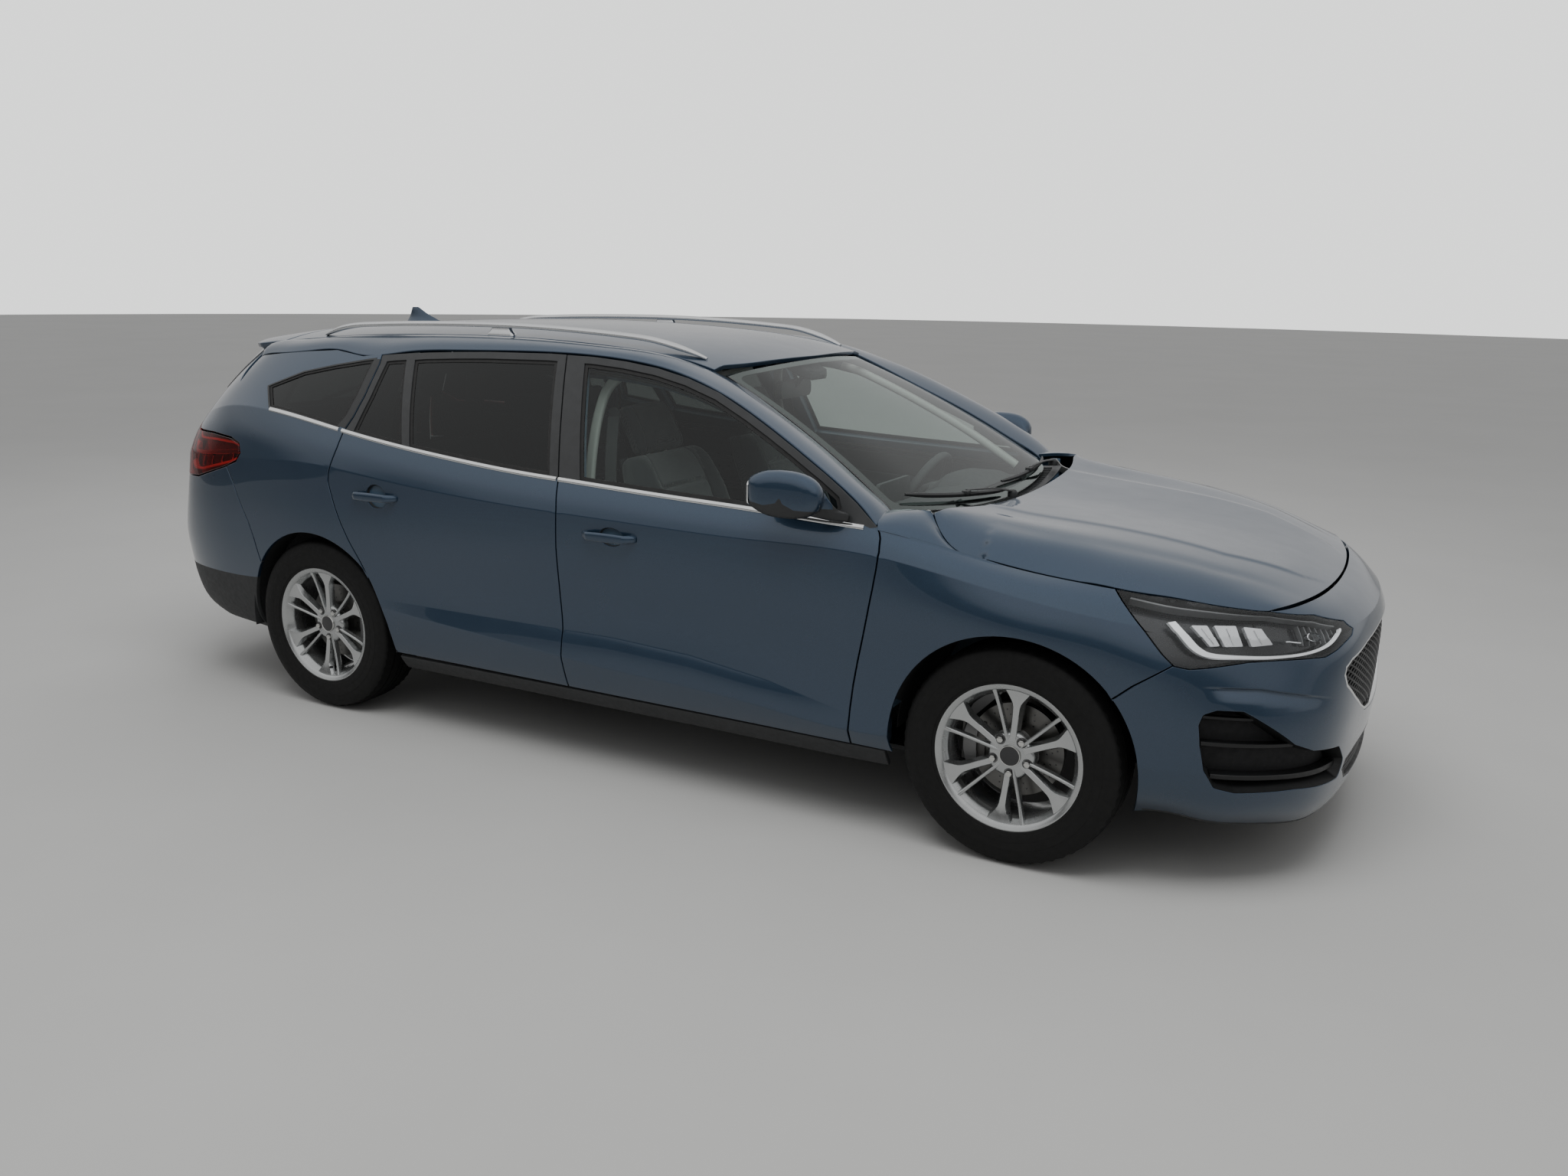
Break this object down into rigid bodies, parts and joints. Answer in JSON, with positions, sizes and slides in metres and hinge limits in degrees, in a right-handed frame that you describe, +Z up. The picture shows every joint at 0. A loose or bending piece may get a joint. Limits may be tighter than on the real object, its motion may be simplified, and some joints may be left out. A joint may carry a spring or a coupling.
{
  "type": "station wagon",
  "caption": "Five-door estate car with opening doors, hood and tailgate, turning wheels, coupled steering and a hollow cabin with seats and load space.",
  "frame": {"origin": "centre of the bounding box on the ground plane, between the wheels", "axes": "+X forward along the car, +Y to the car's left, +Z up"},
  "size_m": [4.6647, 1.979, 1.4804],
  "materials": {
    "body_paint": "gloss metallic",
    "black_trim": "satin",
    "structure": "satin",
    "load_carpet": "matt",
    "clear_glass": "gloss",
    "dark_glass": "gloss",
    "headlamp": "gloss",
    "tail_lamp": "gloss",
    "rail_metal": "satin",
    "antenna_paint": "gloss",
    "wiper_black": "matt",
    "engine_metal": "cast",
    "chassis_steel": "satin",
    "exhaust_steel": "brushed",
    "seat_fabric": "matt",
    "wheel_leather": "satin",
    "tyre_rubber": "matt",
    "rim_alloy": "painted silver"
  },
  "bodies": {
    "body": {"left_body_side": "body_paint", "right_body_side": "body_paint", "roof_panel": "body_paint", "front_wings": "body_paint", "front_bumper": "body_paint", "rear_bumper": "body_paint", "sill_trims": "black_trim", "grille": "black_trim", "cowl": "black_trim", "dashboard": "black_trim", "front_structure": "structure", "floor_pan": "structure", "load_floor": "load_carpet", "windscreen": "clear_glass", "quarter_glass": "dark_glass", "headlamps": "headlamp", "tail_lamps": "tail_lamp", "roof_rails": "rail_metal", "antenna": "antenna_paint", "wipers": "wiper_black", "engine_block": "engine_metal", "front_subframe": "chassis_steel", "rear_axle": "chassis_steel", "fuel_tank": "chassis_steel", "exhaust": "exhaust_steel", "front_seats": "seat_fabric", "rear_seat": "seat_fabric"},
    "left_front_door": {"left_front_door": "body_paint", "left_front_door_glass": "clear_glass", "left_mirror": "body_paint"},
    "left_rear_door": {"left_rear_door": "body_paint", "left_rear_door_glass": "dark_glass"},
    "left_knuckle": {"left_knuckle": "chassis_steel"},
    "left_front_wheel": {"left_front_tyre": "tyre_rubber", "left_front_rim": "rim_alloy"},
    "left_rear_wheel": {"left_rear_tyre": "tyre_rubber", "left_rear_rim": "rim_alloy"},
    "right_front_door": {"right_front_door": "body_paint", "right_front_door_glass": "clear_glass", "right_mirror": "body_paint"},
    "right_rear_door": {"right_rear_door": "body_paint", "right_rear_door_glass": "dark_glass"},
    "right_knuckle": {"right_knuckle": "chassis_steel"},
    "right_front_wheel": {"right_front_tyre": "tyre_rubber", "right_front_rim": "rim_alloy"},
    "right_rear_wheel": {"right_rear_tyre": "tyre_rubber", "right_rear_rim": "rim_alloy"},
    "hood": {"hood": "body_paint"},
    "tailgate": {"tailgate": "body_paint", "tailgate_glass": "dark_glass", "tailgate_lamps": "tail_lamp", "rear_wiper": "wiper_black"},
    "steering_wheel": {"steering_wheel": "wheel_leather"}
  },
  "joints": [
    {"name": "left_front_door_hinge", "type": "hinge", "parent": "body", "child": "left_front_door", "pos_m": [0.9931, 0.872, 0.635], "axis": [0, 0, -1], "range_deg": [0, 65]},
    {"name": "left_rear_door_hinge", "type": "hinge", "parent": "body", "child": "left_rear_door", "pos_m": [-0.1509, 0.872, 0.635], "axis": [0, 0, -1], "range_deg": [0, 65]},
    {"name": "right_front_door_hinge", "type": "hinge", "parent": "body", "child": "right_front_door", "pos_m": [0.9931, -0.872, 0.635], "axis": [0, 0, 1], "range_deg": [0, 65]},
    {"name": "right_rear_door_hinge", "type": "hinge", "parent": "body", "child": "right_rear_door", "pos_m": [-0.1509, -0.872, 0.635], "axis": [0, 0, 1], "range_deg": [0, 65]},
    {"name": "hood_hinge", "type": "hinge", "parent": "body", "child": "hood", "pos_m": [1.0921, 0, 0.957], "axis": [0, -1, 0], "range_deg": [0, 50]},
    {"name": "tailgate_hinge", "type": "hinge", "parent": "body", "child": "tailgate", "pos_m": [-1.6329, 0, 1.372], "axis": [0, 1, 0], "range_deg": [0, 75]},
    {"name": "left_steering_knuckle", "type": "hinge", "parent": "body", "child": "left_knuckle", "pos_m": [1.4571, 0.715, 0.19], "axis": [0, -0.2021, 0.9794], "range_deg": [-35, 35]},
    {"name": "left_front_wheel_spin", "type": "hinge", "parent": "left_knuckle", "child": "left_front_wheel", "pos_m": [1.4571, 0.786, 0.326], "axis": [0, 1, 0], "continuous": true},
    {"name": "left_rear_wheel_spin", "type": "hinge", "parent": "body", "child": "left_rear_wheel", "pos_m": [-1.2429, 0.7805, 0.326], "axis": [0, 1, 0], "continuous": true},
    {"name": "right_steering_knuckle", "type": "hinge", "parent": "body", "child": "right_knuckle", "pos_m": [1.4571, -0.715, 0.19], "axis": [0, 0.2021, 0.9794], "range_deg": [-35, 35]},
    {"name": "right_front_wheel_spin", "type": "hinge", "parent": "right_knuckle", "child": "right_front_wheel", "pos_m": [1.4571, -0.786, 0.326], "axis": [0, 1, 0], "continuous": true},
    {"name": "right_rear_wheel_spin", "type": "hinge", "parent": "body", "child": "right_rear_wheel", "pos_m": [-1.2429, -0.7805, 0.326], "axis": [0, 1, 0], "continuous": true},
    {"name": "steering_wheel_turn", "type": "hinge", "parent": "body", "child": "steering_wheel", "pos_m": [0.6992, 0.37, 0.80299], "axis": [-0.9063, 0, 0.4226], "range_deg": [-540, 540]}
  ],
  "couplings": [
    {"joint": "steering_wheel_turn", "follows": "left_steering_knuckle", "ratio": 15.4},
    {"joint": "right_steering_knuckle", "follows": "left_steering_knuckle", "ratio": 1}
  ]
}
